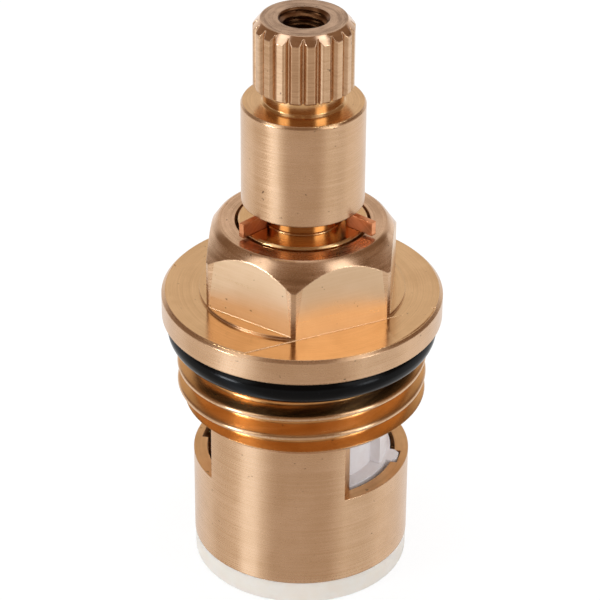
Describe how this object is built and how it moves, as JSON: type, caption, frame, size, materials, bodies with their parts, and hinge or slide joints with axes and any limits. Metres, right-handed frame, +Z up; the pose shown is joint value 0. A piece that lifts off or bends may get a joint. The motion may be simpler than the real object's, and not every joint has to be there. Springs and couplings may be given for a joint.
{
  "type": "ceramic disc tap cartridge",
  "caption": "Brass quarter-turn tap valve cartridge: splined spindle, hexagon, flange with seal ring, pipe thread, and a windowed sleeve that holds ceramic discs over a soft inlet seal.",
  "frame": {"origin": "on the spindle's axis, at the underside of the bottom seal", "axes": "+Z up the spindle towards the spline, +X through the middle of one outlet window"},
  "size_m": [0.0234, 0.0234, 0.0503],
  "materials": {
    "body_brass": "turned, satin",
    "spindle_brass": "turned, satin",
    "clip_copper": "rolled strip",
    "black_rubber": "smooth, slightly glossy",
    "white_acetal": "moulded",
    "white_ceramic": "ground and lapped",
    "clear_silicone": "translucent, smooth"
  },
  "bodies": {
    "housing": {"valve_body": "body_brass", "body_o_ring": "black_rubber", "fixed_disc": "white_ceramic", "bottom_seal": "clear_silicone", "seal_support_ring": "white_acetal"},
    "spindle_group": {"spindle": "spindle_brass", "retaining_clip": "clip_copper", "spindle_o_ring_lower": "black_rubber", "spindle_o_ring_upper": "black_rubber", "slip_washer": "white_acetal"},
    "disc_group": {"moving_disc": "white_ceramic"}
  },
  "joints": [
    {"name": "spindle_turn", "type": "hinge", "parent": "housing", "child": "spindle_group", "pos_m": [0, 0, 0.02425], "axis": [0, 0, 1], "range_deg": [0, 90]},
    {"name": "moving_disc_turn", "type": "hinge", "parent": "housing", "child": "disc_group", "pos_m": [0, 0, 0.01225], "axis": [0, 0, 1], "range_deg": [0, 90]}
  ],
  "couplings": [
    {"joint": "moving_disc_turn", "follows": "spindle_turn", "ratio": 1}
  ]
}
